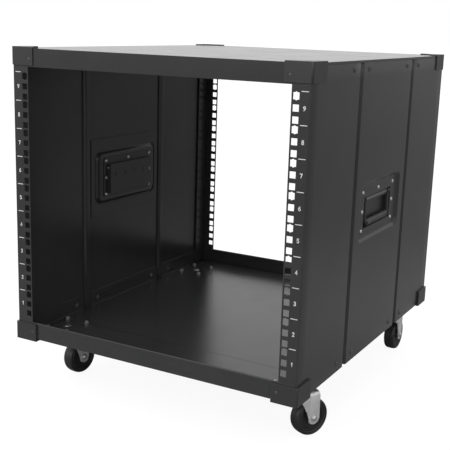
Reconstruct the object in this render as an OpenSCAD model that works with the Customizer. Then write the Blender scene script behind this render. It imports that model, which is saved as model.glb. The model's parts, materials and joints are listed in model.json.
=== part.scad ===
// Open-frame 19-inch equipment rack case: sheet-metal shell, four rack rails,
// corner caps, two recessed drop handles and four swivel casters.
// Origin: middle of the footprint on the floor. +X right, +Y back, +Z up.

/* [Shell] */
// height of one rack unit (mm)
unit_h = 44.45; // [44.45]
// number of rack units
units = 9; // [4:1:12]
// outside width over the side panels (mm)
shell_w = 509.6; // [500:0.1:530]
// depth from front rail face to back rail face (mm)
shell_d = 596; // [300:1:800]
// floor to underside of the base tray (mm)
base_z = 91; // [70:0.5:130]
// underside of the base tray to the bottom of the first unit (mm)
base_step = 36.5; // [28:0.5:60]
// top of the last unit to the top surface (mm)
top_step = 36.95; // [28:0.05:60]
// height of the tray walls seen at the front and back (mm)
tray_wall_h = 28.5; // [20:0.5:40]
// sheet thickness (mm)
sheet = 1.5; // [1:0.1:2]
// distance of the stiffening ribs from the middle of the side (mm)
rib_y = 119.5; // [60:0.5:200]
// width of a rib channel (mm)
rib_w = 12; // [8:0.5:20]
// depth of a rib channel (mm)
rib_depth = 4.5; // [2:0.5:8]

/* [Rails] */
// spacing of the two hole columns (mm)
hole_spacing = 465.1; // [465.1]
// side of a square cage-nut hole (mm)
hole_side = 9.5; // [9:0.1:9.5]
// clear opening between the rails (mm)
rail_opening = 451.6; // [450:0.1:455]
// rail thickness (mm)
rail_t = 1.7; // [1.2:0.1:2.5]
// depth of the rail leg along the side (mm)
rail_leg = 36.5; // [20:0.5:60]

/* [Corner caps] */
// length of a cap along the front (mm)
cap_x = 42; // [30:1:60]
// length of a cap along the side (mm)
cap_y = 46; // [30:1:60]
// height of a cap (mm)
cap_z = 28; // [20:0.5:40]
// how far a bottom cap stands out from the side and front (mm)
proud_low = 3.4; // [1.5:0.1:5]
// how far a top cap stands out from the side and front (mm)
proud_high = 1.8; // [1.5:0.1:5]
// height of the top caps above the top sheet (mm)
cap_rise = 2; // [1:0.1:4]

/* [Handles] */
// height of the handle's middle above the floor (mm)
handle_z = 328.5; // [200:0.5:450]
// grip length (mm)
grip_len = 98; // [70:1:120]
// grip diameter (mm)
grip_d = 10.5; // [8:0.1:12]

/* [Casters] */
// wheel diameter (mm)
wheel_d = 60; // [40:1:100]
// tread width (mm)
wheel_w = 20; // [15:1:32]
// swivel axis to axle (mm)
trail = 28.5; // [15:0.5:45]
// distance of the swivels from the middle, sideways (mm)
caster_x = 218; // [150:1:225]
// distance of the front swivels from the middle (mm)
caster_front = 219; // [150:1:219]
// distance of the back swivels from the middle (mm)
caster_back = 212; // [150:1:219]

/* [Hidden] */
$fn = 32;
u0 = base_z + base_step;
top_z = u0 + units*unit_h + top_step;
half_w = shell_w/2;
half_d = shell_d/2;
in_w = half_w - sheet;
strip_w = in_w - sheet - 0.05;
wall_top = base_z + tray_wall_h;
wall_low = top_z - tray_wall_h;
rib_gap = rib_w/2 + 3.5;
hem_x = 218; hem_t = 2.9; hem_h = 7;
lip_h = 3.8;
panel_top = top_z - lip_h - 0.1;
// handle recess, seen square on: outline, plateau and pocket
dish_l = 186; dish_h = 96; dish_r = 15; dish_deep = 5;
flat_l = 154; flat_h = 76; flat_r = 9;
plateau_x = half_w - dish_deep;
flange_x = plateau_x - sheet;
pocket_l = 122; pocket_z0 = handle_z - 28.5; pocket_z1 = handle_z + 23;
pan_t = 1.2; pan_back = 241;
pivot_x = 246.9; pivot_z = handle_z + 17;
grip_x = 248; grip_z = handle_z - 21;
pin_r = 2.3; arm_y = 52.5; arm_w = 5; knuckle_r = 4.6;
rivet_spots = [[-69, -31], [-69, 0], [-69, 31], [69, -31], [69, 0], [69, 31], [0, 30.5]];
// panel screws and cap rivets
screw_y = [-150, -89, 89, 150];
screw_z = [base_z + 12.5, top_z - 13];
cap_rivet_in = 34; cap_rivet_side = 35; cap_rivet_r = 2.75;
cap_mid = [base_z + 13, top_z - 16];
// casters: front left, front right, back left, back right
spots = [[-caster_x, -caster_front], [caster_x, -caster_front],
         [-caster_x, caster_back], [caster_x, caster_back]];
turned = [8, 28, -8, 0];
wheel_r = wheel_d/2;
leg_in = wheel_w/2 + 1.5; leg_t = 2;
crown_z = wheel_r + 39.5; crown_t = 2.5;
race_z = crown_z + crown_t + 8;
plate_t = 2.5; plate_z = base_z - plate_t;
bolt_x = 21; bolt_y = 26.5; bolt_r = 2.5; nut_r = 4.2;
axle_r = 3; king_r = 5; core_r = wheel_r - 8;
// fork leg outline in (y, z) measured from the axle
leg_shape = [[10.3, 0], [10.3, 42], [-38, 42], [-31.5, 37], [-24.3, 28.3], [-17.5, 16.9],
             [-12.1, 5.9], [-10.3, 0]];
black = [0.13, 0.13, 0.135]; cap_black = [0.09, 0.09, 0.09];
zinc = [0.72, 0.72, 0.73]; rubber = [0.06, 0.06, 0.06];

// ---------- small helpers ----------
module each_side() { for (s = [-1, 1]) scale([s, 1, 1]) children(); }
module box(lo, hi) { translate(lo) cube(hi - lo); }
module along_x(x0, x1, r) { translate([x0, 0, 0]) rotate([0, 90, 0]) cylinder(h = x1 - x0, r = r); }
module along_y(y0, y1, r) { translate([0, y0, 0]) rotate([-90, 0, 0]) cylinder(h = y1 - y0, r = r); }
module round_rect(l, h, r) {
  square([l - 2*r, h], center = true);
  square([l, h - 2*r], center = true);
  for (a = [-1, 1], b = [-1, 1]) translate([a*(l/2 - r), b*(h/2 - r)]) circle(r);
}
// a flat drawing in (y, z) pushed along x from x0 to x1
module yz_slab(x0, x1) {
  translate([x0, 0, 0]) rotate([90, 0, 90]) linear_extrude(height = x1 - x0) children();
}

// ---------- shell ----------
module tray(z_sheet, z_lo, z_hi) {
  box([-in_w + 0.05, -half_d, z_sheet], [in_w - 0.05, half_d, z_sheet + sheet]);
  for (s = [-1, 1]) {
    box([-in_w + 0.05, s > 0 ? half_d - sheet : -half_d, z_lo],
        [in_w - 0.05, s > 0 ? half_d : -half_d + sheet, z_hi]);
    difference() {
      box([s > 0 ? strip_w : -strip_w - sheet, -half_d, z_lo],
          [s > 0 ? strip_w + sheet : -strip_w, half_d, z_hi]);
      for (t = [-1, 1]) box([s*strip_w - 5, t*rib_y - rib_gap, z_lo - 20],
                            [s*strip_w + 5, t*rib_y + rib_gap, z_hi + 20]);
      for (y = screw_y) translate([0, y, z_lo < u0 ? screw_z[0] : screw_z[1]])
        along_x(s*strip_w - 5, s*strip_w + 5, 2.6);
    }
  }
}
module base_tray() color(black) difference() {
  union() {
    tray(base_z, base_z, wall_top);
    // folded hem along the top of the front and back walls
    for (s = [-1, 1]) box([-hem_x, s > 0 ? half_d - hem_t : -half_d, wall_top - hem_h],
                          [hem_x, s > 0 ? half_d : -half_d + hem_t, wall_top]);
  }
  // notches that the side panels' channels stand in
  translate([0, 0, base_z - 1]) linear_extrude(height = 4) for (s = [0, 1], t = [-1, 1])
    mirror([s, 0]) polygon([[in_w + 1, t*rib_y - rib_w/2 - 2.9], [in_w, t*rib_y - rib_w/2 - 2.9],
      [in_w - rib_depth - 0.3, t*rib_y - rib_w/2 - 0.3], [in_w - rib_depth - 0.3, t*rib_y + rib_w/2 + 0.3],
      [in_w, t*rib_y + rib_w/2 + 2.9], [in_w + 1, t*rib_y + rib_w/2 + 2.9]]);
  for (p = spots) {
    translate([p[0], p[1], base_z - 1]) cylinder(h = 4, r = 7.5);
    for (a = [-1, 1], b = [-1, 1])
      translate([p[0] + a*bolt_x, p[1] + b*bolt_y, base_z - 1]) cylinder(h = 4, r = bolt_r + 0.1);
  }
}
module top_tray() color(black) {
  tray(top_z - sheet, wall_low, top_z);
  // the sheet runs out over the side panels and turns down in a short lip
  for (s = [0, 1]) mirror([s, 0, 0]) {
    box([in_w - 1, -half_d, top_z - sheet], [half_w, half_d, top_z]);
    box([in_w, -half_d, top_z - lip_h], [half_w, half_d, top_z]);
  }
}

// plan of a side panel with its two pressed channels, right-hand side
function rib_path(y, x0, w) = [[x0, y - w/2 - 1.5], [x0 - rib_depth, y - w/2 + 1],
                               [x0 - rib_depth, y + w/2 - 1], [x0, y + w/2 + 1.5]];
panel_plan = concat([[half_w, -half_d]], rib_path(-rib_y, half_w, rib_w),
  rib_path(rib_y, half_w, rib_w), [[half_w, half_d], [in_w, half_d]],
  [for (y = [rib_y, -rib_y]) for (k = [3:-1:0]) rib_path(y, in_w, rib_w + 2)[k]],
  [[in_w, -half_d]]);
module frustum(x_out, x_in, l0, h0, r0, l1, h1, r1) {
  hull() {
    yz_slab(x_out - 0.01, x_out) translate([0, handle_z]) round_rect(l0, h0, r0);
    yz_slab(x_in, x_in + 0.01) translate([0, handle_z]) round_rect(l1, h1, r1);
  }
}
module side_panel() color(black) difference() {
  union() {
    difference() {
      translate([0, 0, base_z - 0.5]) linear_extrude(height = panel_top - base_z + 0.5)
        polygon(panel_plan);
      yz_slab(in_w - 1, half_w + 1) translate([0, handle_z]) round_rect(dish_l - 1, dish_h - 1, dish_r);
    }
    frustum(half_w, flange_x, dish_l + 1, dish_h + 1, dish_r + 1,
            flat_l + 2, flat_h + 2, flat_r + 1);
  }
  frustum(half_w + 0.01, plateau_x, dish_l, dish_h, dish_r, flat_l, flat_h, flat_r);
  box([flange_x - 1, -pocket_l/2, pocket_z0], [half_w, pocket_l/2, pocket_z1]);
  translate([pivot_x, 0, pivot_z]) along_y(-pocket_l/2 - pan_t - 0.1, pocket_l/2 + pan_t + 0.1, pin_r + 0.1);
  for (p = rivet_spots) translate([0, p[0], handle_z + p[1]]) along_x(flange_x - 1, half_w, 2);
  for (y = screw_y, z = screw_z) translate([0, y, z]) along_x(in_w - 1, half_w + 1, 2.6);
}
module side_panel_left() mirror([1, 0, 0]) side_panel();
module side_panel_right() side_panel();

// ---------- rack rails ----------
module rail_holes() {
  for (k = [1:units], j = [0:2]) translate([hole_spacing/2, u0 + unit_h*k - [6.35, 22.225, 38.1][j]]) {
    square(hole_side, center = true);
    if (j == 0) polygon([[-2.2, -4.7], [0, -6.3], [2.2, -4.7], [2.2, 4.7], [0, 6.3], [-2.2, 4.7]]);
  }
}
module rail() color(black) {
  translate([0, -half_d + rail_t, 0]) rotate([90, 0, 0]) linear_extrude(height = rail_t) difference() {
    translate([rail_opening/2, wall_top + 0.1])
      square([in_w - 0.05 - rail_opening/2, wall_low - wall_top - 0.2]);
    rail_holes();
  }
  box([strip_w - 0.05 - rail_t, -half_d + sheet + 0.05, base_z + sheet + 1],
      [strip_w - 0.05, -half_d + rail_leg, top_z - sheet - 1]);
}
module rail_front_left() mirror([1, 0, 0]) rail();
module rail_front_right() rail();
module rail_back_left() rotate([0, 0, 180]) rail();
module rail_back_right() mirror([0, 1, 0]) rail();

// ---------- corner caps ----------
// front right cap standing out by p; z0 and z1 are its lowest and highest faces
module cap(p, z0, z1, cut_lo, cut_hi, z_rivet) color(cap_black) {
  w = half_w + p;
  d = half_d + p;
  difference() {
    union() {
      box([w - cap_x, -d, z0], [w - 3, -d + cap_y, z1]);
      box([w - cap_x, -d + 3, z0], [w, -d + cap_y, z1]);
      translate([w - 3, -d + 3, z0]) cylinder(h = z1 - z0, r = 3);
    }
    box([w - cap_x - 1, -half_d - 0.05, cut_lo], [half_w + 0.05, -d + cap_y + 1, cut_hi]);
    translate([w - cap_x, -d + cap_y, z0 - 1]) scale([(cap_x - 14)/10, (cap_y - 14)/10, 1])
      cylinder(h = cap_z + 4, r = 10);
    translate([w - cap_rivet_in, 0, z_rivet]) along_y(-d - 1, -half_d + 4, cap_rivet_r + 0.05);
    translate([0, -d + cap_rivet_side, z_rivet]) along_x(half_w - 4, w + 1, cap_rivet_r + 0.05);
  }
}
module cap_low() cap(proud_low, base_z - 3, base_z - 2 + cap_z, base_z - 0.55, base_z + cap_z + 5, cap_mid[0]);
module cap_high() cap(proud_high, top_z + cap_rise - cap_z, top_z + cap_rise, base_z, top_z + 0.05, cap_mid[1]);
module cap_bottom_front_left() mirror([1, 0, 0]) cap_low();
module cap_bottom_front_right() cap_low();
module cap_bottom_back_left() rotate([0, 0, 180]) cap_low();
module cap_bottom_back_right() mirror([0, 1, 0]) cap_low();
module cap_top_front_left() mirror([1, 0, 0]) cap_high();
module cap_top_front_right() cap_high();
module cap_top_back_left() rotate([0, 0, 180]) cap_high();
module cap_top_back_right() mirror([0, 1, 0]) cap_high();

// ---------- handles ----------
module doubler() color(black) yz_slab(in_w - 1.3, in_w - 0.05) difference() {
  translate([0, handle_z + 1]) square([212, 142], center = true);
  translate([0, handle_z]) round_rect(dish_l + 4, dish_h + 4, dish_r);
}
module doubler_left() mirror([1, 0, 0]) doubler();
module doubler_right() doubler();
module handle_pan() color(cap_black) difference() {
  union() {
    yz_slab(flange_x - pan_t - 0.05, flange_x - 0.05)
      translate([0, handle_z]) round_rect(flat_l - 4, flat_h - 3, flat_r - 2);
    box([pan_back, -pocket_l/2 - pan_t, pocket_z0 - pan_t],
        [flange_x - 0.05, pocket_l/2 + pan_t, pocket_z1 + pan_t]);
  }
  difference() {
    box([pan_back + pan_t, -pocket_l/2, pocket_z0], [half_w, pocket_l/2, pocket_z1]);
    translate([pivot_x, 0, pivot_z]) along_y(-arm_y + arm_w/2 + 1, arm_y - arm_w/2 - 1, knuckle_r);
    box([pivot_x - 1.5, -arm_y + arm_w/2 + 1, pivot_z + 2],
        [flange_x - 0.05, arm_y - arm_w/2 - 1, pocket_z1 + 1]);
  }
  translate([pivot_x, 0, pivot_z]) along_y(-pocket_l/2 - 5, pocket_l/2 + 5, pin_r + 0.03);
  for (p = rivet_spots) translate([0, p[0], handle_z + p[1]]) along_x(flange_x - 3, half_w, 2);
}
module pan_dimples() color(cap_black) for (y = [-45, -15, 15, 45])
  translate([0, y, handle_z + 4]) along_x(pan_back - 0.7, pan_back + 0.2, 3);
module handle_pan_left() mirror([1, 0, 0]) { handle_pan(); pan_dimples(); }
module handle_pan_right() { handle_pan(); pan_dimples(); }
module hinge_pin() color(cap_black) translate([pivot_x, 0, pivot_z])
  along_y(-pocket_l/2 - pan_t, pocket_l/2 + pan_t, pin_r);
module hinge_pin_left() mirror([1, 0, 0]) hinge_pin();
module hinge_pin_right() hinge_pin();
module bail() color(cap_black) {
  for (s = [-1, 1]) difference() {
    union() {
      translate([pivot_x, s*arm_y, pivot_z]) along_y(-arm_w/2, arm_w/2, 4.4);
      box([pivot_x - 3, s*arm_y - arm_w/2, grip_z], [pivot_x + 3, s*arm_y + arm_w/2, pivot_z]);
      translate([grip_x, s*arm_y, grip_z]) along_y(-arm_w/2, arm_w/2, 4.4);
    }
    translate([pivot_x, s*arm_y, pivot_z]) along_y(-arm_w, arm_w, pin_r + 0.05);
  }
  translate([grip_x, 0, grip_z]) along_y(-arm_y, arm_y, 3);
}
module bail_left() mirror([1, 0, 0]) bail();
module bail_right() bail();
module grip() color(rubber) translate([grip_x, 0, grip_z]) difference() {
  along_y(-grip_len/2, grip_len/2, grip_d/2);
  along_y(-grip_len, grip_len, 3.02);
}
module grip_left() mirror([1, 0, 0]) grip();
module grip_right() grip();

// ---------- fasteners ----------
module handle_rivets() color(zinc) each_side() for (p = rivet_spots)
  translate([0, p[0], handle_z + p[1]]) {
    along_x(flange_x - pan_t - 0.1, plateau_x + 0.1, 1.97);
    along_x(plateau_x + 0.05, plateau_x + 1.0, 3.1);
    along_x(plateau_x + 1.0, plateau_x + 1.6, 2.2);
    along_x(flange_x - pan_t - 1.3, flange_x - pan_t - 0.1, 2.5);
  }
module panel_screws() color(cap_black) each_side() for (y = screw_y, z = screw_z) translate([0, y, z]) {
  along_x(strip_w - 0.2, half_w + 0.1, 2.55);
  along_x(half_w + 0.05, half_w + 1.0, 4.4);
  along_x(half_w + 1.0, half_w + 1.7, 3.2);
  along_x(strip_w - 1.3, strip_w - 0.05, 4.6);
  along_x(strip_w - 2.2, strip_w - 1.3, 3.2);
}
module cap_rivets() color(cap_black) each_side() for (t = [-1, 1], k = [0, 1]) scale([1, t, 1]) {
  p = [proud_low, proud_high][k];
  translate([half_w + p - cap_rivet_in, 0, cap_mid[k]]) along_y(-half_d - p + 0.4, -half_d - 0.05, cap_rivet_r);
  translate([0, -half_d - p + cap_rivet_side, cap_mid[k]]) along_x(half_w + 0.05, half_w + p - 0.4, cap_rivet_r);
}
module at_bolts() for (p = spots, a = [-1, 1], b = [-1, 1])
  translate([p[0] + a*bolt_x, p[1] + b*bolt_y, 0]) children();
module caster_bolts() color(zinc) at_bolts() {
  translate([0, 0, plate_z - 3.6]) cylinder(h = 3.55, r = nut_r, $fn = 6);
  translate([0, 0, plate_z - 1]) cylinder(h = plate_t + sheet + 6, r = bolt_r);
}
module caster_nuts() color(zinc) at_bolts() translate([0, 0, base_z + sheet + 0.05]) difference() {
  union() {
    cylinder(h = 0.9, r = 4.7);
    cylinder(h = 4, r = nut_r, $fn = 6);
  }
  translate([0, 0, -1]) cylinder(h = 8, r = bolt_r + 0.03);
}

// ---------- casters ----------
// local frame: swivel axis at the origin, wheel trailing towards +Y, axle along X
module at_caster(i) translate([spots[i][0], spots[i][1], 0]) rotate([0, 0, -turned[i]]) children();
module caster_plate(i) color(zinc) translate([spots[i][0], spots[i][1], 0]) difference() {
  union() {
    translate([0, 0, plate_z]) linear_extrude(height = plate_t - 0.05) round_rect(60, 72, 6);
    translate([0, 0, race_z + 0.5]) cylinder(h = plate_z - race_z, r = 15);
    translate([0, 0, race_z + 0.5]) cylinder(h = 4, r = 19);
  }
  translate([0, 0, race_z]) cylinder(h = 30, r = king_r + 0.03);
  for (a = [-1, 1], b = [-1, 1])
    translate([a*bolt_x, b*bolt_y, plate_z - 1]) cylinder(h = plate_t + 2, r = bolt_r + 0.1);
}
module kingpin(i) color(zinc) translate([spots[i][0], spots[i][1], 0]) {
  translate([0, 0, crown_z - 3]) cylinder(h = base_z - crown_z + 5, r = king_r);
  translate([0, 0, crown_z - 5]) cylinder(h = 4.6, r = 9);
  translate([0, 0, base_z]) cylinder(h = 3.2, r = 6.5);
}
module fork(i) color(zinc) at_caster(i) difference() {
  union() {
    for (s = [-1, 1]) yz_slab(s > 0 ? leg_in : -leg_in - leg_t, s > 0 ? leg_in + leg_t : -leg_in)
      translate([trail, wheel_r]) { polygon(leg_shape); circle(10.3); }
    translate([-leg_in - leg_t, -10, crown_z]) cube([2*(leg_in + leg_t), trail + 20.3, crown_t]);
    translate([0, 0, crown_z]) cylinder(h = crown_t, r = 22);
    translate([0, 0, crown_z]) cylinder(h = crown_t + 8, r = 20);
  }
  translate([0, 0, crown_z + crown_t]) cylinder(h = 9, r = 16);
  translate([0, 0, crown_z - 1]) cylinder(h = 20, r = king_r + 0.06);
  translate([0, trail, wheel_r]) along_x(-leg_in - 5, leg_in + 5, axle_r + 0.03);
}
module axle(i) color(zinc) at_caster(i) translate([0, trail, wheel_r]) {
  along_x(-leg_in - leg_t - 1, leg_in + leg_t + 1, axle_r);
  along_x(leg_in + leg_t + 0.05, leg_in + leg_t + 1.6, 5.6);
  along_x(leg_in + leg_t + 0.05, leg_in + leg_t + 3.2, 4.2);
  along_x(-leg_in - leg_t - 1.6, -leg_in - leg_t - 0.05, 5.6);
  along_x(-leg_in - leg_t - 3.2, -leg_in - leg_t - 0.05, 4.2);
}
module spin(i) at_caster(i) translate([0, trail, wheel_r]) rotate([0, 90, 0]) rotate_extrude($fn = 72) children();
module wheel_core(i) color(rubber) spin(i) polygon([[axle_r + 0.05, -leg_in + 0.3], [7, -leg_in + 0.3],
  [8, -6], [core_r - 4, -6], [core_r - 3, -8.8], [core_r, -8.8], [core_r, 8.8], [core_r - 3, 8.8],
  [core_r - 4, 6], [8, 6], [7, leg_in - 0.3], [axle_r + 0.05, leg_in - 0.3]]);
module tyre(i) color(rubber) spin(i) polygon([[core_r + 0.02, -9], [core_r + 1.5, -wheel_w/2],
  [wheel_r - 4, -wheel_w/2], [wheel_r - 1.6, -wheel_w/2 + 1.4], [wheel_r - 0.3, -wheel_w/2 + 4],
  [wheel_r, 0], [wheel_r - 0.3, wheel_w/2 - 4], [wheel_r - 1.6, wheel_w/2 - 1.4],
  [wheel_r - 4, wheel_w/2], [core_r + 1.5, wheel_w/2], [core_r + 0.02, 9]]);

base_tray();
top_tray();
side_panel_left();
side_panel_right();
rail_front_left();
rail_front_right();
rail_back_left();
rail_back_right();
cap_bottom_front_left();
cap_bottom_front_right();
cap_bottom_back_left();
cap_bottom_back_right();
cap_top_front_left();
cap_top_front_right();
cap_top_back_left();
cap_top_back_right();
doubler_left();
doubler_right();
handle_pan_left();
handle_pan_right();
hinge_pin_left();
hinge_pin_right();
bail_left();
bail_right();
grip_left();
grip_right();
handle_rivets();
panel_screws();
cap_rivets();
caster_bolts();
caster_nuts();
caster_plate(0);  // caster_plate_fl
caster_plate(1);  // caster_plate_fr
caster_plate(2);  // caster_plate_bl
caster_plate(3);  // caster_plate_br
kingpin(0);  // kingpin_fl
kingpin(1);  // kingpin_fr
kingpin(2);  // kingpin_bl
kingpin(3);  // kingpin_br
fork(0);  // fork_fl
fork(1);  // fork_fr
fork(2);  // fork_bl
fork(3);  // fork_br
axle(0);  // axle_fl
axle(1);  // axle_fr
axle(2);  // axle_bl
axle(3);  // axle_br
wheel_core(0);  // wheel_core_fl
wheel_core(1);  // wheel_core_fr
wheel_core(2);  // wheel_core_bl
wheel_core(3);  // wheel_core_br
tyre(0);  // tyre_fl
tyre(1);  // tyre_fr
tyre(2);  // tyre_bl
tyre(3);  // tyre_br
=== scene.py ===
import json
import math
import random

import bmesh
import bpy
from mathutils import Matrix, Vector


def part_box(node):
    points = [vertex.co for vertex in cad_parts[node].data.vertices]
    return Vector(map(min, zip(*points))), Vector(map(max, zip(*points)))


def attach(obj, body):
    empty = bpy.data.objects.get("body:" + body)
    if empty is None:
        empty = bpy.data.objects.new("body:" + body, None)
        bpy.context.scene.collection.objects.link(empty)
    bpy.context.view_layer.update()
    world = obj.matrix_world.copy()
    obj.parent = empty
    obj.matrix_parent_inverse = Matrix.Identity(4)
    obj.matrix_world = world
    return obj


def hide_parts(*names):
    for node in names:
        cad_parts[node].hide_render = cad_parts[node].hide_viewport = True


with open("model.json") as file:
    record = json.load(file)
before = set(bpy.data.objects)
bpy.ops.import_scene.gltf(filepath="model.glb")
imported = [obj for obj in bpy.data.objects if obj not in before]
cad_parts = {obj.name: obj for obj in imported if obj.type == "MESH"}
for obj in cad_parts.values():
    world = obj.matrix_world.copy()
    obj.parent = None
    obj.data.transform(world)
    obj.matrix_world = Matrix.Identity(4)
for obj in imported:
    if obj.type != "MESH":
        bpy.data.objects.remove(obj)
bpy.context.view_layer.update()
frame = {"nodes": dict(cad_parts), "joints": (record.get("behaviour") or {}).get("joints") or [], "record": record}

MM = 0.001


# ---------------------------------------------------------------- materials
def material(name):
    """An empty node material, with its output and its Principled shader."""
    mat = bpy.data.materials.new(name)
    mat.use_nodes = True
    tree = mat.node_tree
    tree.nodes.clear()
    out = tree.nodes.new("ShaderNodeOutputMaterial")
    shader = tree.nodes.new("ShaderNodeBsdfPrincipled")
    tree.links.new(shader.outputs["BSDF"], out.inputs["Surface"])
    return mat, tree, shader


def add(tree, kind, values=(), **props):
    """A node with its properties and its input values set."""
    node = tree.nodes.new(kind)
    for key, value in props.items():
        setattr(node, key, value)
    for key, value in dict(values).items():
        node.inputs[key].default_value = value
    return node


def noise(tree, scale, detail=4.0, rough=0.55, stretch=None):
    """A noise texture in the object's own coordinates, in metres."""
    coord = add(tree, "ShaderNodeTexCoord")
    source = coord.outputs["Object"]
    if stretch:
        mapping = add(tree, "ShaderNodeMapping", {"Scale": stretch})
        tree.links.new(source, mapping.inputs["Vector"])
        source = mapping.outputs["Vector"]
    node = add(tree, "ShaderNodeTexNoise", {"Scale": scale, "Detail": detail, "Roughness": rough})
    tree.links.new(source, node.inputs["Vector"])
    return node.outputs["Fac"]


def spread(tree, source, low, high, from_low=0.3, from_high=0.7):
    """Maps a 0 to 1 texture onto a range."""
    node = add(tree, "ShaderNodeMapRange",
               {"From Min": from_low, "From Max": from_high, "To Min": low, "To Max": high})
    tree.links.new(source, node.inputs["Value"])
    return node.outputs["Result"]


def mix(tree, factor, first, second):
    """Mixes two colours; each is a socket or a plain colour."""
    node = add(tree, "ShaderNodeMix", data_type="RGBA")
    for socket, value in ((node.inputs["Factor"], factor), (node.inputs[6], first), (node.inputs[7], second)):
        if isinstance(value, bpy.types.NodeSocket):
            tree.links.new(value, socket)
        else:
            socket.default_value = value
    return node.outputs[2]


def edges(tree, radius, amount):
    """A mask of the convex edges, worn in patches."""
    bevel = add(tree, "ShaderNodeBevel", {"Radius": radius}, samples=6)
    geometry = add(tree, "ShaderNodeNewGeometry")
    dot = add(tree, "ShaderNodeVectorMath", operation="DOT_PRODUCT")
    tree.links.new(bevel.outputs["Normal"], dot.inputs[0])
    tree.links.new(geometry.outputs["Normal"], dot.inputs[1])
    mask = spread(tree, dot.outputs["Value"], amount, 0.0, 0.75, 0.985)
    patches = spread(tree, noise(tree, 55, 6.0, 0.7), 0.15, 1.0, 0.4, 0.62)
    node = add(tree, "ShaderNodeMath", operation="MULTIPLY")
    tree.links.new(mask, node.inputs[0])
    tree.links.new(patches, node.inputs[1])
    return node.outputs["Value"]


def bump(tree, shader, layers, soft_edge=None):
    """Stacks bump layers (source, height in metres) under a softened edge normal."""
    normal = None
    if soft_edge:
        normal = add(tree, "ShaderNodeBevel", {"Radius": soft_edge}, samples=4).outputs["Normal"]
    for source, height in layers:
        node = add(tree, "ShaderNodeBump", {"Strength": 1.0, "Distance": height})
        tree.links.new(source, node.inputs["Height"])
        if normal:
            tree.links.new(normal, node.inputs["Normal"])
        normal = node.outputs["Normal"]
    tree.links.new(normal, shader.inputs["Normal"])


def grey(value, warm=0.0):
    """A grey, tinted a little towards red or, below 0, towards blue."""
    return (value * (1 + warm), value, value * (1 - warm), 1.0)


def powder_coat(name, tone, rough):
    """Baked powder paint: a fine orange-peel skin, faint cloudiness and rubbed edges."""
    mat, tree, shader = material(name)
    cloud = spread(tree, noise(tree, 7, 5.0, 0.6), 0.0, 1.0)
    colour = mix(tree, cloud, grey(tone * 0.88, -0.012), grey(tone * 1.12, -0.012))
    speck = spread(tree, noise(tree, 900, 2.0), 0.0, 0.22, 0.5, 0.75)
    colour = mix(tree, speck, colour, grey(tone * 2.1))
    colour = mix(tree, edges(tree, 0.0008, 0.45), colour, grey(tone * 3.6))
    tree.links.new(colour, shader.inputs["Base Color"])
    tree.links.new(spread(tree, noise(tree, 16, 6.0, 0.65), rough - 0.02, rough + 0.03),
                   shader.inputs["Roughness"])
    bump(tree, shader, [(noise(tree, 1500, 3.0), 0.00003), (noise(tree, 340, 2.0), 0.00002)], 0.0005)
    return mat


def moulded(name, tone, rough, grain=700, height=0.00005):
    """Matt moulded rubber or plastic with a fine grain, dust and scuffed edges."""
    mat, tree, shader = material(name)
    cloud = spread(tree, noise(tree, 40, 6.0, 0.65), 0.0, 1.0, 0.35, 0.7)
    colour = mix(tree, cloud, grey(tone * 0.8), grey(tone * 1.35, 0.02))
    colour = mix(tree, edges(tree, 0.0009, 0.6), colour, grey(tone * 2.6, 0.02))
    tree.links.new(colour, shader.inputs["Base Color"])
    tree.links.new(spread(tree, noise(tree, 90, 4.0), rough - 0.08, rough + 0.08), shader.inputs["Roughness"])
    bump(tree, shader, [(noise(tree, grain, 3.0), height)], 0.0006)
    return mat


def plated(name, tone, rough, brushed=(1, 1, 1)):
    """Zinc or bright plating: metallic, lightly clouded, with fine scratches and dull edges."""
    mat, tree, shader = material(name)
    shader.inputs["Metallic"].default_value = 1.0
    cloud = spread(tree, noise(tree, 60, 6.0, 0.6), 0.0, 1.0)
    colour = mix(tree, cloud, grey(tone * 0.9, -0.008), grey(tone * 1.06, 0.006))
    colour = mix(tree, edges(tree, 0.0006, 0.35), colour, grey(min(tone * 1.25, 0.95)))
    tree.links.new(colour, shader.inputs["Base Color"])
    tree.links.new(spread(tree, noise(tree, 120, 5.0, 0.7), rough - 0.08, rough + 0.12),
                   shader.inputs["Roughness"])
    bump(tree, shader, [(noise(tree, 420, 4.0, 0.6, brushed), 0.00002)], 0.0005)
    return mat


def print_ink(name):
    """Screen-printed white ink, slightly uneven."""
    mat, tree, shader = material(name)
    patch = spread(tree, noise(tree, 600, 4.0, 0.7), 0.0, 1.0, 0.35, 0.6)
    tree.links.new(mix(tree, patch, grey(0.72), grey(0.86)), shader.inputs["Base Color"])
    tree.links.new(spread(tree, noise(tree, 300, 3.0), 0.45, 0.65), shader.inputs["Roughness"])
    bump(tree, shader, [(noise(tree, 1200, 3.0), 0.00002)])
    return mat


PAINT = powder_coat("paint_shell", 0.034, 0.24)
# The top tray gets a copy of the shell paint with a smoother skin and a darker tone. The darker tone is painted
# shade, since the top is the same paint as the shell.
PAINT_TOP_SHADED = powder_coat("paint_top_shaded", 0.031, 0.2)
HARDWARE = powder_coat("paint_hardware", 0.03, 0.34)
SCREW = powder_coat("black_screws", 0.065, 0.4)
GRIP = moulded("rubber_grip", 0.05, 0.4)
TYRE = moulded("rubber_tyre", 0.018, 0.42, 500, 0.00008)
CORE = moulded("nylon_core", 0.016, 0.5)
ZINC = plated("zinc_plate", 0.93, 0.48, (1, 1, 6))
BRIGHT = plated("bright_plate", 0.42, 0.38)
RIVET = plated("rivet_plate", 0.7, 0.32)
DULL = plated("dull_plate", 0.25, 0.42)
INK = print_ink("white_ink")

BY_SLOT = {"powder_coat": PAINT, "black_hardware": HARDWARE, "grip_rubber": GRIP, "tyre_rubber": TYRE,
           "wheel_plastic": CORE, "zinc_steel": ZINC, "bright_fasteners": BRIGHT}


def dress(obj, mat):
    """Gives an object one material."""
    obj.data.materials.clear()
    obj.data.materials.append(mat)


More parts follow.
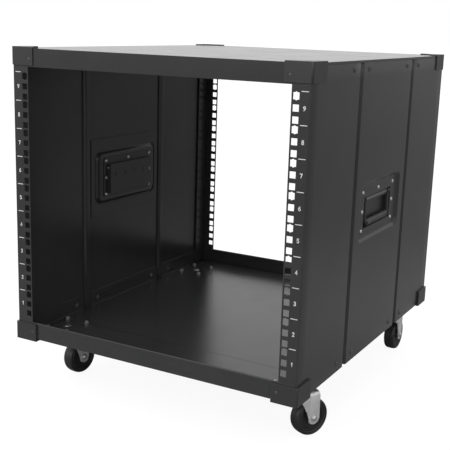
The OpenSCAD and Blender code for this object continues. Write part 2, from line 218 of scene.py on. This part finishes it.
def round_edges(obj, width):
    """Welds the CAD mesh's split corners and rounds its sharp edges, as modifiers."""
    obj.modifiers.new("weld", "WELD").merge_threshold = 0.00001
    bevel = obj.modifiers.new("bevel", "BEVEL")
    bevel.width = width
    bevel.segments = 2
    bevel.limit_method = "ANGLE"
    bevel.angle_limit = math.radians(35)
    bevel.harden_normals = True


for part in frame["record"]["subparts"]:
    node = frame["nodes"][part["node"]]
    dress(node, BY_SLOT[part["material_slot"]])
# The top tray wears the painted-shade copy of the shell paint.
dress(frame["nodes"]["top_tray"], PAINT_TOP_SHADED)

ROUNDING = {"base_tray": 0.7, "top_tray": 0.7, "rail": 0.3, "cap_bottom": 1.7, "cap_top": 1.1,
            "doubler": 0.35, "handle_pan": 0.55, "caster_plate": 0.5}
for name, node in frame["nodes"].items():
    for start, width in ROUNDING.items():
        if name.startswith(start):
            round_edges(node, width * MM)


# ---------------------------------------------------------------- mesh tools
CORNERS = ("fl", "fr", "bl", "br")
SIDES = (-1, 1)
JOINT = {j["name"]: j for j in frame["joints"]}


def mesh_piece(name, bm, mat, body, replaced=(), smooth_angle=40, keep_sides=False):
    """Turns a bmesh, built in millimetres, into a piece that rides on a body and takes a material slot."""
    mesh = bpy.data.meshes.new(name)
    if not keep_sides:
        bmesh.ops.recalc_face_normals(bm, faces=bm.faces)
    bmesh.ops.scale(bm, verts=bm.verts, vec=(MM, MM, MM))
    bm.to_mesh(mesh)
    bm.free()
    mesh.shade_smooth()
    mesh.set_sharp_from_angle(angle=math.radians(smooth_angle))
    obj = bpy.data.objects.new(name, mesh)
    bpy.context.scene.collection.objects.link(obj)
    dress(obj, mat)
    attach(obj, body)
    if replaced:
        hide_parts(*replaced)
    return obj


def lathe(bm, outline, place, steps=32):
    """Turns (radius, height) points about the local Z axis of place."""
    rings = []
    for radius, height in outline:
        if radius < 1e-6:
            rings.append([bm.verts.new(place @ Vector((0, 0, height)))])
            continue
        angles = [2 * math.pi * (i + 0.5) / steps for i in range(steps)]
        rings.append([bm.verts.new(place @ Vector((radius * math.cos(t), radius * math.sin(t), height)))
                      for t in angles])
    for low, high in zip(rings, rings[1:]):
        for i in range(steps):
            k = (i + 1) % steps
            around = [low[i % len(low)], low[k % len(low)], high[k % len(high)], high[i % len(high)]]
            around = list(dict.fromkeys(around))
            if len(around) > 2:
                bm.faces.new(around)


def sweep(bm, path, section, across):
    """Drags a section along a path. Each section point is (in the plane of the path, along across)."""
    rings = []
    for i, point in enumerate(path):
        before = path[i - 1] if i else path[0]
        after = path[i + 1] if i + 1 < len(path) else path[-1]
        side = (after - before).normalized().cross(across).normalized()
        rings.append([bm.verts.new(point + side * u + across * v) for u, v in section])
    for low, high in zip(rings, rings[1:]):
        for i in range(len(section)):
            k = (i + 1) % len(section)
            bm.faces.new((low[i], low[k], high[k], high[i]))
    bm.faces.new(rings[0])
    bm.faces.new(rings[-1][::-1])


def rounded_section(wide, tall, r, steps=4):
    """Corner-rounded rectangle, as (u, v) points."""
    points = []
    for quarter, (a, b) in enumerate(((1, 1), (-1, 1), (-1, -1), (1, -1))):
        for i in range(steps + 1):
            t = math.pi / 2 * (quarter + i / steps)
            points.append((a * (wide / 2 - r) + r * math.cos(t), b * (tall / 2 - r) + r * math.sin(t)))
    return points


def soften(obj, width, angle):
    """Rounds the edges sharper than an angle, as the last modifier; the width is in millimetres."""
    edge = obj.modifiers.new("edge", "BEVEL")
    edge.width = width * MM
    edge.segments = 2
    edge.limit_method = "ANGLE"
    edge.angle_limit = math.radians(angle)


def facing(point, direction):
    """A frame at a point whose Z axis looks along a direction."""
    return Matrix.Translation(point) @ Vector(direction).to_track_quat("Z", "Y").to_matrix().to_4x4()


# ---------------------------------------------------------------- pressed side panels
BASE_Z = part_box("base_tray")[0].z / MM
PANEL_LOW, PANEL_HIGH = (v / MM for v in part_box("side_panel_right"))
PANEL_X = PANEL_HIGH.x
SHEET = 1.5
HANDLE_Z = 328.5
RIB = {"at": 119.5, "half": 6.8, "run": 2.4, "deep": 4.4}
DISH = {"half_y": 93.0, "half_z": 48.0, "corner": 15.0}
POCKET = {"half_y": 61.0, "low": 300.0, "high": 351.5}


def smooth(t):
    """An S-shaped step from 0 to 1."""
    t = min(max(t, 0.0), 1.0)
    return t * t * (3 - 2 * t)


def pressed_depth(y, z):
    """How far the sheet is pressed in at a point of the side: two channels and the handle's dish."""
    rib = RIB["deep"] * smooth((RIB["half"] - abs(abs(y) - RIB["at"])) / RIB["run"])
    over_y = abs(y) - DISH["half_y"] + DISH["corner"]
    over_z = abs(z - HANDLE_Z) - DISH["half_z"] + DISH["corner"]
    outside = math.hypot(max(over_y, 0), max(over_z, 0)) + min(max(over_y, over_z), 0) - DISH["corner"]
    return max(rib, 4.3 * smooth(-outside / 6.5) + 0.7 * smooth((-outside - 3) / 12))


def stations(*runs):
    """Sorted grid lines from (start, end, step) runs."""
    lines = set()
    for start, end, step in runs:
        count = max(1, round((end - start) / step))
        lines.update(round(start + (end - start) * i / count, 4) for i in range(count + 1))
    return sorted(lines)


def pressed_panel(side, way):
    """One side sheet with softly rounded pressings and the handle's opening."""
    rib_in, rib_out = RIB["at"] - RIB["half"], RIB["at"] + RIB["half"]
    half = [(0, POCKET["half_y"], 12), (POCKET["half_y"], 76, 3), (76, 95, 1), (95, rib_in, 5),
            (rib_in, rib_out, 0.75), (rib_out, PANEL_HIGH.y, 25)]
    ys = stations(*half, *((-end, -start, step) for start, end, step in half))
    low, high = HANDLE_Z - DISH["half_z"], HANDLE_Z + DISH["half_z"]
    zs = stations((PANEL_LOW.z, low - 2, 24), (low - 2, low + 17, 1), (low + 17, POCKET["low"], 2),
                  (POCKET["low"], POCKET["high"], 10), (POCKET["high"], high - 17, 4), (high - 17, high + 2, 1),
                  (high + 2, PANEL_HIGH.z, 24))
    bm = bmesh.new()
    grid = [[bm.verts.new((side * (PANEL_X - pressed_depth(y, z)), y, z)) for z in zs] for y in ys]
    for i in range(len(ys) - 1):
        for k in range(len(zs) - 1):
            if abs(ys[i] + ys[i + 1]) / 2 < POCKET["half_y"] and POCKET["low"] <= zs[k] < POCKET["high"]:
                continue
            around = (grid[i][k], grid[i + 1][k], grid[i + 1][k + 1], grid[i][k + 1])
            bm.faces.new(around if side > 0 else around[::-1])
    bmesh.ops.delete(bm, geom=[v for v in bm.verts if not v.link_faces], context="VERTS")
    obj = mesh_piece("pressed_side_" + way, bm, PAINT, "case", ["side_panel_" + way],
                     keep_sides=True)
    solid = obj.modifiers.new("thickness", "SOLIDIFY")
    solid.thickness = SHEET * MM
    solid.offset = -1
    soften(obj, 0.4, 50)


for side, way in ((-1, "left"), (1, "right")):
    pressed_panel(side, way)

# ---------------------------------------------------------------- folded hems
def folded_hems():
    """The base tray's front and back walls end in the sheet folded over on itself, with a full round edge."""
    wide, tall, r = 1.67, 3.75, 1.4
    flat = tall - r - 0.3
    outline = rounded_section(2 * wide, 2 * tall, r, 6)
    outline = outline[:14] + [(-wide, flat), (-wide, -flat)] + outline[14:] + [(wide, -flat), (wide, flat)]
    low, high = (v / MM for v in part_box("base_tray"))
    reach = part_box("cap_bottom_front_right")[0].x / MM
    z = high.z + 0.25 - tall
    bm = bmesh.new()
    for y in (low.y + 1.45, high.y - 1.45):
        sweep(bm, [Vector((end * reach, y, z)) for end in SIDES], outline, Vector((0, 0, 1)))
    mesh_piece("hem_folds", bm, PAINT, "case", smooth_angle=50)


folded_hems()

# ---------------------------------------------------------------- casters
AXLE_Z = 30.0
CROWN = 70.75
LEG_X = 12.5
LEG_SHEET = 2.0
FOOT_R = 10.3
# leading edge of a fork leg, from the crown down to the rounded foot, as (y, z) from the axle
LEADING = [(-38, 41), (-31.5, 36), (-24.3, 28.3), (-17.5, 16.9), (-12.1, 5.9), (-10.3, 0)]


def caster_frame(corner):
    """Frame of a caster in mm: origin under the swivel on the floor, X along the axle, Y along the trail."""
    swivel = Vector(JOINT["swivel_" + corner]["pos_m"]) / MM
    axle = Vector(JOINT["wheel_" + corner + "_spin"]["pos_m"]) / MM
    along = Vector(JOINT["wheel_" + corner + "_spin"]["axis"])
    trail = Vector((axle.x - swivel.x, axle.y - swivel.y, 0))
    turn = Matrix((along, trail.normalized(), Vector((0, 0, 1)))).transposed().to_4x4()
    return Matrix.Translation((swivel.x, swivel.y, 0)) @ turn, trail.length


def leg_foot(y):
    """Height of a fork leg's lower edge, y mm behind the axle."""
    if y > -FOOT_R:
        return AXLE_Z - math.sqrt(max(FOOT_R ** 2 - y ** 2, 0))
    for (y0, z0), (y1, z1) in zip(LEADING, LEADING[1:]):
        if y <= y1:
            return AXLE_Z + z0 + (z1 - z0) * (y - y0) / (y1 - y0)
    return AXLE_Z


def fork_shell(corner, place, trail):
    """A yoke pressed from one sheet: two legs bent down from the crown over round shoulders."""
    bend = 6.0
    crease = -7.6
    front = LEADING[0][0]
    along = [front + (-FOOT_R - front) * i / 9 for i in range(9)]
    along += [-FOOT_R * math.cos(math.pi * i / 14) for i in range(15)]
    along = sorted(along + [crease + 0.5 * i for i in range(-2, 3)])
    bm = bmesh.new()
    rows = []
    for y in along:
        leg_x = LEG_X + max(0.0, crease - y) * 0.13 - 0.5 * smooth((y - crease + 1) / 2)
        leg_x -= smooth(1.0 - abs(y - crease))
        low = min(leg_foot(y), CROWN - bend - 0.5)
        side = [(leg_x, low + (CROWN - bend - low) * i / 8) for i in range(9)]
        side += [(leg_x - bend + bend * math.cos(t), CROWN - bend + bend * math.sin(t))
                 for t in (math.pi / 12 * k for k in range(1, 6))]
        side.append((leg_x - bend, CROWN))
        path = side + [(0.0, CROWN)] + [(-x, z) for x, z in reversed(side)]
        rows.append([bm.verts.new(place @ Vector((x, trail + y, z))) for x, z in path])
    for first, second in zip(rows, rows[1:]):
        for i in range(len(first) - 1):
            bm.faces.new((first[i], first[i + 1], second[i + 1], second[i]))
    obj = mesh_piece("fork_shell_" + corner, bm, ZINC, "fork_" + corner, ["fork_" + corner])
    solid = obj.modifiers.new("thickness", "SOLIDIFY")
    solid.thickness = LEG_SHEET * MM
    solid.offset = 0
    soften(obj, 0.45, 50)


def swivel_cup(corner, place):
    """The pressed cup on the crown that holds the lower ball race."""
    cup = [(9.5, 71.4), (9.5, 69.5), (20.8, 69.5), (21.9, 70.1), (22, 71.2), (21.4, 71.9), (20.4, 72.4),
           (20, 73.4), (19.8, 77.4), (19.2, 79), (17.9, 79.9), (16.4, 79.7), (16, 78.8), (16, 72.2),
           (9.5, 71.4)]
    bm = bmesh.new()
    lathe(bm, cup, place, 56)
    mesh_piece("swivel_cup_" + corner, bm, ZINC, "fork_" + corner)


def axle_bolt(corner, place, trail):
    """The axle with a washer and a domed head at each end."""
    half = [(0, -16.7), (1.6, -16.6), (3.0, -16.1), (3.9, -15.3), (4.2, -14.6), (5.3, -14.55), (5.6, -14.3),
            (5.6, -13.7), (5.4, -13.52), (3, -13.5), (3, 0)]
    outline = half + [(r, -h) for r, h in reversed(half[:-1])]
    bm = bmesh.new()
    lathe(bm, outline, place @ facing((0, trail, AXLE_Z), (1, 0, 0)), 32)
    mesh_piece("axle_bolt_" + corner, bm, RIVET, "fork_" + corner, ["axle_" + corner])


def wheel(corner, place, trail):
    """Solid rubber tyre with round shoulders and a mould ring on a nylon core."""
    hub = place @ facing((0, trail, AXLE_Z), (1, 0, 0))
    half = [(22.05, -8.7), (22.8, -9.5), (23.8, -9.9), (24.6, -9.95), (24.9, -9.45), (25.4, -9.4),
            (25.8, -9.85), (26.8, -9.8), (27.8, -9.4), (28.7, -8.6), (29.3, -7.4), (29.7, -5.6),
            (29.92, -3.4), (30, -0.35), (29.85, -0.15)]
    ring = half + [(r, -h) for r, h in reversed(half)]
    bm = bmesh.new()
    lathe(bm, ring + [ring[0]], hub, 96)
    mesh_piece("tread_" + corner, bm, TYRE, "wheel_" + corner, ["tyre_" + corner])
    half = [(3.06, -11.2), (6.6, -11.2), (7.3, -10.7), (7.8, -7), (8.6, -6.2), (10, -6), (16.6, -6),
            (18, -6.3), (18.7, -7.3), (19.1, -8.5), (19.8, -8.85), (21.4, -8.85), (21.95, -8.4)]
    ring = half + [(r, -h) for r, h in reversed(half)]
    bm = bmesh.new()
    lathe(bm, ring + [ring[0]], hub, 64)
    mesh_piece("wheel_disc_" + corner, bm, CORE, "wheel_" + corner, ["wheel_core_" + corner])


def kingpin(corner, place):
    """The riveted pin that carries the swivel: flat head under the crown, domed head over the base."""
    outline = [(0, 64.5), (5.6, 64.5), (7.8, 65), (8.8, 66), (9, 67.2), (9, 69.1), (5, 69.1),
               (5, 91.05), (6.5, 91.1), (6.5, 92.4), (6.1, 93.3), (5, 93.9), (3.4, 94.2), (1.6, 94.2),
               (1.3, 93.9), (0, 93.8)]
    bm = bmesh.new()
    lathe(bm, outline, place, 40)
    mesh_piece("swivel_rivet_" + corner, bm, BRIGHT, "case", ["kingpin_" + corner])


for corner in CORNERS:
    spot, trail_mm = caster_frame(corner)
    fork_shell(corner, spot, trail_mm)
    swivel_cup(corner, spot)
    axle_bolt(corner, spot, trail_mm)
    wheel(corner, spot, trail_mm)
    kingpin(corner, spot)

# ---------------------------------------------------------------- fasteners
PLATEAU_X = PANEL_X - 5
BOLT = (21, 26.5)
SCREW_Y = (-150, -89, 89, 150)
SCREW_Z = (BASE_Z + 12.5, 551.45)
CAP_RIVET_Z = {"bottom": BASE_Z + 13, "top": 548.45}
RIVETS = [(-69, -31), (-69, 0), (-69, 31), (69, -31), (69, 0), (69, 31), (0, 30.5)]


def bolt_places():
    """Where the caster bolts stand, four round each swivel."""
    for corner in CORNERS:
        swivel = Vector(JOINT["swivel_" + corner]["pos_m"]) / MM
        for a in SIDES:
            for b in SIDES:
                yield Vector((swivel.x + a * BOLT[0], swivel.y + b * BOLT[1], 0))


def hexagon(bm, place, across, height, turn=0.0):
    """A six-sided head or nut with both rims chamfered."""
    r = across
    outline = [(0, 0), (r * 0.86, 0), (r, height * 0.14), (r, height * 0.84), (r * 0.84, height),
               (0, height)]
    lathe(bm, outline, place @ Matrix.Rotation(turn, 4, "Z"), 6)


def caster_fixings():
    """Nuts, washers and bolt ends inside the base; hex heads under the caster plates."""
    nuts, bolts = bmesh.new(), bmesh.new()
    random.seed(7)
    for place in bolt_places():
        turn = random.uniform(0, math.pi / 3)
        seat = BASE_Z + 1.55
        floor_frame = Matrix.Translation(place + Vector((0, 0, seat)))
        lathe(nuts, [(2.6, 0), (4.5, 0), (4.7, 0.2), (4.7, 0.7), (4.5, 0.9), (2.6, 0.9)], floor_frame, 28)
        hexagon(nuts, floor_frame @ Matrix.Translation((0, 0, 0.9)), 4.2, 3.1, turn)
        shank = [(0, 84.9), (3.6, 84.9), (4.2, 85.4), (4.2, 88.4), (2.5, 88.4), (2.5, 97.0),
                 (2.1, 97.5), (0, 97.5)]
        lathe(bolts, shank, Matrix.Translation(place) @ Matrix.Rotation(turn, 4, "Z"), 24)
        hexagon(bolts, Matrix.Translation(place + Vector((0, 0, BASE_Z - 6.1))), 4.2, 3.55, turn)
    mesh_piece("hex_nuts", nuts, BRIGHT, "case", ["caster_nuts"], 25)
    mesh_piece("hex_bolts", bolts, BRIGHT, "case", ["caster_bolts"], 25)


def handle_rivets():
    """Pop rivets through the handle flange: a dished head outside and a rolled tail inside."""
    bm = bmesh.new()
    head = [(0, 0.75), (0.85, 0.75), (1.0, 1.35), (1.35, 1.6), (2.0, 1.45), (2.6, 1.05), (3.0, 0.45),
            (3.1, 0.05), (1.9, 0.0), (1.9, -2.7), (2.9, -2.8), (3.2, -3.3), (3.0, -4.0), (2.3, -4.5),
            (1.4, -4.5), (1.0, -3.9), (0, -3.8)]
    for side in SIDES:
        for y, z in RIVETS:
            lathe(bm, head, facing((side * (PLATEAU_X + 0.05), y, HANDLE_Z + z), (side, 0, 0)), 28)
    mesh_piece("pop_rivets", bm, RIVET, "case", ["handle_rivets"])


def cross_head(bm, place, radius, height, shank):
    """A low domed screw head with a cross recess, its shank running down to -shank."""
    rings, spokes = 12, 48
    slot_half, slot_reach, slot_depth = 0.42, 2.3, 0.75
    centre = bm.verts.new(place @ Vector((0, 0, height - slot_depth)))
    grid = []
    for i in range(1, rings + 1):
        r = radius * i / rings
        row = []
        for k in range(spokes):
            t = 2 * math.pi * k / spokes
            x, y = r * math.cos(t), r * math.sin(t)
            h = height * math.sqrt(max(0.0, 1 - (r / radius) ** 2.6))
            arm, reach = min(abs(x), abs(y)), max(abs(x), abs(y))
            if arm < slot_half + 0.05 and reach < slot_reach:
                h -= slot_depth * (1 - 0.6 * reach / slot_reach)
            row.append(bm.verts.new(place @ Vector((x, y, h))))
        grid.append(row)
    for k in range(spokes):
        bm.faces.new((centre, grid[0][k], grid[0][(k + 1) % spokes]))
        for low, high in zip(grid, grid[1:]):
            bm.faces.new((low[k], high[k], high[(k + 1) % spokes], low[(k + 1) % spokes]))
    lathe(bm, [(radius, 0), (2.5, -0.02), (2.5, -shank)], place, 24)


def panel_screws():
    """Black cross-head screws through the side panels into the trays, each with a thin nut inside."""
    bm, nuts = bmesh.new(), bmesh.new()
    random.seed(11)
    for side in SIDES:
        for y in SCREW_Y:
            for z in SCREW_Z:
                turn = Matrix.Rotation(random.uniform(0, math.pi / 2), 4, "Z")
                outer = facing((side * PANEL_X, y, z), (side, 0, 0)) @ turn
                cross_head(bm, outer, 4.4, 1.65, 3.0)
                inner = facing((side * (PANEL_X - 3.15), y, z), (-side, 0, 0)) @ turn
                lathe(nuts, [(2.5, 0), (4.5, 0), (4.6, 0.15), (4.6, 0.7), (4.4, 0.85), (2.5, 0.85)], inner, 28)
                hexagon(nuts, inner @ Matrix.Translation((0, 0, 0.7)), 3.4, 1.4)
    mesh_piece("panel_screw_heads", bm, SCREW, "case", ["panel_screws"])
    mesh_piece("panel_nuts", nuts, DULL, "case", smooth_angle=25)


def cap_rivets():
    """Flush domed rivets in the corner caps, a little below the caps' faces."""
    bm = bmesh.new()
    dome = [(0, 0.2), (0.9, 0.18), (1.9, 0.05), (2.5, -0.15), (2.75, -0.5), (2.75, -1.4)]
    for level, z in CAP_RIVET_Z.items():
        for side, way in ((-1, "left"), (1, "right")):
            for end, where in ((-1, "front"), (1, "back")):
                low, high = (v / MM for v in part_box("_".join(("cap", level, where, way))))
                x = side * max(abs(low.x), abs(high.x))
                y = end * max(abs(low.y), abs(high.y))
                lathe(bm, dome, facing((x - side * 34, y - end * 0.25, z), (0, end, 0)), 24)
                lathe(bm, dome, facing((x - side * 0.25, y - end * 35, z), (side, 0, 0)), 24)
    mesh_piece("cap_rivet_heads", bm, SCREW, "case", ["cap_rivets"])


caster_fixings()
handle_rivets()
panel_screws()
cap_rivets()

# ---------------------------------------------------------------- drop handles
PIVOT_Z = JOINT["handle_right_hinge"]["pos_m"][2] / MM
PIVOT_X = JOINT["handle_right_hinge"]["pos_m"][0] / MM
GRIP_AT = (248.0, 307.5)
ARM_Y = 52.5


def bail(side, way):
    """A forged bail: two flat arms with hinge eyes, bent round into the bar under the grip."""
    bend, steps = 6.0, 6
    bm = bmesh.new()
    lean = (GRIP_AT[0] - PIVOT_X) / (PIVOT_Z - GRIP_AT[1])

    def at(y, z):
        return Vector((side * (PIVOT_X + (PIVOT_Z - z) * lean), y, z))

    path = [at(-ARM_Y, PIVOT_Z - 2)]
    path += [at(-ARM_Y + bend - bend * math.cos(t), GRIP_AT[1] + bend - bend * math.sin(t))
             for t in (math.pi / 2 * i / steps for i in range(steps + 1))]
    path += [at(ARM_Y - bend + bend * math.sin(t), GRIP_AT[1] + bend - bend * math.cos(t))
             for t in (math.pi / 2 * i / steps for i in range(steps + 1))]
    path.append(at(ARM_Y, PIVOT_Z - 2))
    sweep(bm, path, rounded_section(4.6, 6, 1.6), Vector((side, 0, 0)))
    eye = [(2.36, -2.5), (3.9, -2.5), (4.4, -2.0), (4.4, 2.0), (3.9, 2.5), (2.36, 2.5), (2.36, -2.5)]
    for end in SIDES:
        lathe(bm, eye, facing((side * PIVOT_X, end * ARM_Y, PIVOT_Z), (0, 1, 0)), 32)
    mesh_piece("bail_bar_" + way, bm, HARDWARE, "bail_" + way, ["bail_" + way])


def grip(side, way):
    """A rubber sleeve with soft ends and shallow moulded rings."""
    half, r = 46.5, 5.25
    outline = [(3.05, -half), (4.2, -half), (4.9, -half + 0.4), (r, -half + 1.4)]
    for k in range(-14, 15):
        for shift, dip in ((-0.9, 0.0), (-0.45, 0.22), (0.45, 0.22), (0.9, 0.0)):
            outline.append((r - dip, k * 3.1 + shift))
    outline += [(r, half - 1.4), (4.9, half - 0.4), (4.2, half), (3.05, half), (3.05, -half)]
    bm = bmesh.new()
    lathe(bm, outline, facing((side * GRIP_AT[0], 0, GRIP_AT[1]), (0, 1, 0)), 40)
    mesh_piece("grip_sleeve_" + way, bm, GRIP, "bail_" + way, ["grip_" + way])


def hinge_pin(side, way):
    """The steel pin of a drop handle, its ends headed over outside the pan."""
    end, r = 65.0, 2.25
    half = [(0, -end), (1.7, -end + 0.1), (2.7, -end + 0.6), (3.1, -end + 1.4), (3.1, -end + 2.5),
            (r, -end + 2.6)]
    bm = bmesh.new()
    lathe(bm, half + [(a, -b) for a, b in reversed(half)], facing((side * PIVOT_X, 0, PIVOT_Z), (0, 1, 0)), 28)
    mesh_piece("steel_pin_" + way, bm, DULL, "case", ["hinge_pin_" + way])


for side, way in ((-1, "left"), (1, "right")):
    bail(side, way)
    grip(side, way)
    hinge_pin(side, way)

# ---------------------------------------------------------------- printed marks on the front rails
UNIT = 44.45
UNITS = 9
FIRST = 127.5
MARK_X = 245.4
LINE_HALF = 4.8
DIGIT_TALL = 5.4
STROKE = 1.15
INK_T = 0.12
RAIL_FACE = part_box("rail_front_left")[0].y / MM


def arc(x, y, wide, tall, start, end, steps=12):
    """Points of an elliptical arc, angles in degrees."""
    angles = [math.radians(start + (end - start) * i / steps) for i in range(steps + 1)]
    return [(x + wide * math.cos(t), y + tall * math.sin(t)) for t in angles]


# each digit's pen strokes, in a box one unit tall about its centre
DIGITS = {
    1: [[(-0.14, 0.3), (0.05, 0.5), (0.05, -0.5)]],
    2: [arc(0, 0.24, 0.24, 0.26, 165, -35) + [(-0.26, -0.5), (0.28, -0.5)]],
    3: [arc(-0.02, 0.25, 0.23, 0.25, 150, -90), arc(-0.02, -0.25, 0.27, 0.25, 90, -150)],
    4: [[(0.12, -0.5), (0.12, 0.5), (-0.28, -0.2), (0.3, -0.2)]],
    5: [[(0.24, 0.5), (-0.2, 0.5), (-0.22, 0.08)] + arc(0, -0.18, 0.27, 0.32, 120, -150)],
    6: [arc(0, -0.22, 0.26, 0.28, 0, 360, 20), [(-0.26, -0.2), (-0.2, 0.15), (-0.03, 0.4), (0.16, 0.5)]],
    7: [[(-0.27, 0.5), (0.27, 0.5), (-0.06, -0.5)]],
    8: [arc(0, 0.26, 0.21, 0.24, 0, 360, 18), arc(0, -0.24, 0.26, 0.26, 0, 360, 20)],
    9: [arc(0, 0.22, 0.26, 0.28, 0, 360, 20), [(0.26, 0.2), (0.2, -0.15), (0.03, -0.4), (-0.16, -0.5)]],
}


def pen(bm, points, place, layer=0):
    """A printed stroke with round ends lying on the rail's face, as a thin slab."""
    half = STROKE / 2
    closed = math.dist(points[0], points[-1]) < 0.01
    flat = [Vector((x, y)) for x, y in points]
    left, right = [], []
    for i, point in enumerate(flat):
        before = flat[i - 1] if i else (flat[-2] if closed else None)
        after = flat[i + 1] if i + 1 < len(flat) else (flat[1] if closed else None)
        ways = []
        if before is not None:
            ways.append((point - before).normalized())
        if after is not None:
            ways.append((after - point).normalized())
        way = sum(ways, Vector((0, 0))).normalized()
        reach = half / max(0.5, way.dot(ways[0]))
        side = Vector((-way.y, way.x)) * reach
        left.append(point + side)
        right.append(point - side)
    if closed:
        pieces = [[left[i], left[i + 1], right[i + 1], right[i]] for i in range(len(flat) - 1)]
    else:
        def round_end(centre, way):
            start = math.atan2(way.y, way.x) - math.pi / 2
            turns = (start + math.pi * k / 6 for k in range(1, 6))
            return [centre + Vector((math.cos(t), math.sin(t))) * half for t in turns]
        first = round_end(flat[0], flat[0] - flat[1])
        last = round_end(flat[-1], flat[-1] - flat[-2])
        pieces = [[left[i], left[i + 1], right[i + 1], right[i]] for i in range(len(flat) - 1)]
        pieces += [[left[0]] + first + [right[0]], [right[-1]] + last + [left[-1]]]
    front = -INK_T - layer * 0.02
    for piece in pieces:
        top = [bm.verts.new(place @ Vector((v.x, front, v.y))) for v in piece]
        bm.faces.new(top)


def unit_marks():
    """A line over each rack unit and its number, 1 to 9 from the bottom, on both front rails."""
    lines, digits = bmesh.new(), bmesh.new()
    for side in SIDES:
        for k in range(1, UNITS + 1):
            pen(lines, [(-LINE_HALF, 0), (LINE_HALF, 0)],
                Matrix.Translation((side * MARK_X, RAIL_FACE, FIRST + k * UNIT)))
            for layer, stroke in enumerate(DIGITS[k]):
                pen(digits, [(x * DIGIT_TALL, z * DIGIT_TALL) for x, z in stroke],
                    Matrix.Translation((side * MARK_X, RAIL_FACE, FIRST + (k - 0.5) * UNIT)), layer)
    for name, bm in (("unit_lines", lines), ("unit_digits", digits)):
        bmesh.ops.remove_doubles(bm, verts=bm.verts, dist=0.001)
        for face in bm.faces:
            face.normal_update()
            if face.normal.y > 0:
                face.normal_flip()
        ink = mesh_piece(name, bm, INK, "case", keep_sides=True)
        body = ink.modifiers.new("thickness", "SOLIDIFY")
        body.thickness = INK_T * MM
        body.offset = -1


unit_marks()

# ---------------------------------------------------------------- stage, light and camera
DIM_SIDE = (0.75, 0.65, -0.3)
DIM_LEVEL = 0.35
FLOOR_NEAR, FLOOR_MID, FLOOR_FAR = 0.38, 0.24, 0.32
FLOOR_HALF = 30.0
FLOOR_GLOW = 0.92
YAW, PITCH, ROLL = 29.007, -12.883, 1.764
EYE = (0.7204, -1.3587, 0.6115)
LENS = 70.68


def area(name, place, aim, size, power):
    """A soft rectangular lamp aimed at a point."""
    light = bpy.data.lights.new(name, "AREA")
    light.shape = "RECTANGLE"
    light.size, light.size_y = size
    light.energy = power
    obj = bpy.data.objects.new(name, light)
    bpy.context.scene.collection.objects.link(obj)
    obj.location = place
    obj.rotation_euler = (Vector(aim) - Vector(place)).to_track_quat("-Z", "Y").to_euler()


def floor():
    """A pale floor: bright to the camera, with only a faint shadow, and a light grey to the object."""
    mesh = bpy.data.meshes.new("floor")
    corners = [(x * FLOOR_HALF, y * FLOOR_HALF, 0) for x, y in ((-1, -1), (1, -1), (1, 1), (-1, 1))]
    mesh.from_pydata(corners, [], [(0, 1, 2, 3)])
    obj = bpy.data.objects.new("floor", mesh)
    bpy.context.scene.collection.objects.link(obj)
    mat, tree, shader = material("floor_white")
    shader.inputs["Roughness"].default_value = 0.9
    shader.inputs["Specular IOR Level"].default_value = 0.0
    patches = spread(tree, noise(tree, 3), 0, 1)
    tree.links.new(mix(tree, patches, grey(0.14), grey(0.15)), shader.inputs["Base Color"])
    shader.inputs["Emission Color"].default_value = (1, 1, 1, 1)
    shader.inputs["Emission Strength"].default_value = FLOOR_GLOW
    away = add(tree, "ShaderNodeVectorMath", operation="LENGTH")
    tree.links.new(add(tree, "ShaderNodeTexCoord").outputs["Object"], away.inputs[0])
    distance = away.outputs["Value"]
    tone = mix(tree, spread(tree, distance, 1, 0, 0.6, 1.3), grey(FLOOR_MID), grey(FLOOR_NEAR))
    tone = mix(tree, spread(tree, distance, 0, 1, 3, 8), tone, grey(FLOOR_FAR))
    lit = add(tree, "ShaderNodeBsdfDiffuse")
    tree.links.new(tone, lit.inputs["Color"])
    blend = add(tree, "ShaderNodeMixShader")
    tree.links.new(add(tree, "ShaderNodeLightPath").outputs["Is Camera Ray"], blend.inputs["Fac"])
    tree.links.new(lit.outputs["BSDF"], blend.inputs[1])
    tree.links.new(shader.outputs["BSDF"], blend.inputs[2])
    tree.links.new(blend.outputs["Shader"], tree.nodes["Material Output"].inputs["Surface"])
    dress(obj, mat)


def studio():
    """White all round behind the object; as light, white but for a dim side behind on the right."""
    world = bpy.data.worlds.new("studio")
    world.use_nodes = True
    tree = world.node_tree
    sky = tree.nodes["Background"]
    coord = add(tree, "ShaderNodeTexCoord")
    dot = add(tree, "ShaderNodeVectorMath", {1: DIM_SIDE}, operation="DOT_PRODUCT")
    tree.links.new(coord.outputs["Generated"], dot.inputs[0])
    level = spread(tree, dot.outputs["Value"], 1.0, DIM_LEVEL, 0.35, 0.85)
    path = add(tree, "ShaderNodeLightPath")
    strength = add(tree, "ShaderNodeMath", operation="MAXIMUM")
    tree.links.new(level, strength.inputs[0])
    tree.links.new(path.outputs["Is Camera Ray"], strength.inputs[1])
    sky.inputs["Color"].default_value = (1, 1, 1, 1)
    tree.links.new(strength.outputs["Value"], sky.inputs["Strength"])
    bpy.context.scene.world = world
    bpy.context.scene.view_settings.view_transform = "Standard"


def camera():
    """The viewpoint of the picture: in front, to the right and a little above."""
    yaw, pitch, roll = (math.radians(v) for v in (YAW, PITCH, ROLL))
    forward = Vector((-math.sin(yaw) * math.cos(pitch), math.cos(yaw) * math.cos(pitch), math.sin(pitch)))
    right = Vector((math.cos(yaw), math.sin(yaw), 0))
    up = right.cross(forward)
    right, up = (right * math.cos(roll) + up * math.sin(roll), up * math.cos(roll) - right * math.sin(roll))
    data = bpy.data.cameras.new("camera")
    data.sensor_width = 36
    data.lens = LENS
    obj = bpy.data.objects.new("camera", data)
    bpy.context.scene.collection.objects.link(obj)
    turn = Matrix((right, up, -forward)).transposed().to_4x4()
    obj.matrix_world = Matrix.Translation(EYE) @ turn
    bpy.context.scene.camera = obj


studio()
floor()
area("key", (-0.8, -2.4, 1.7), (0, 0, 0.3), (1.6, 1.6), 20)
camera()
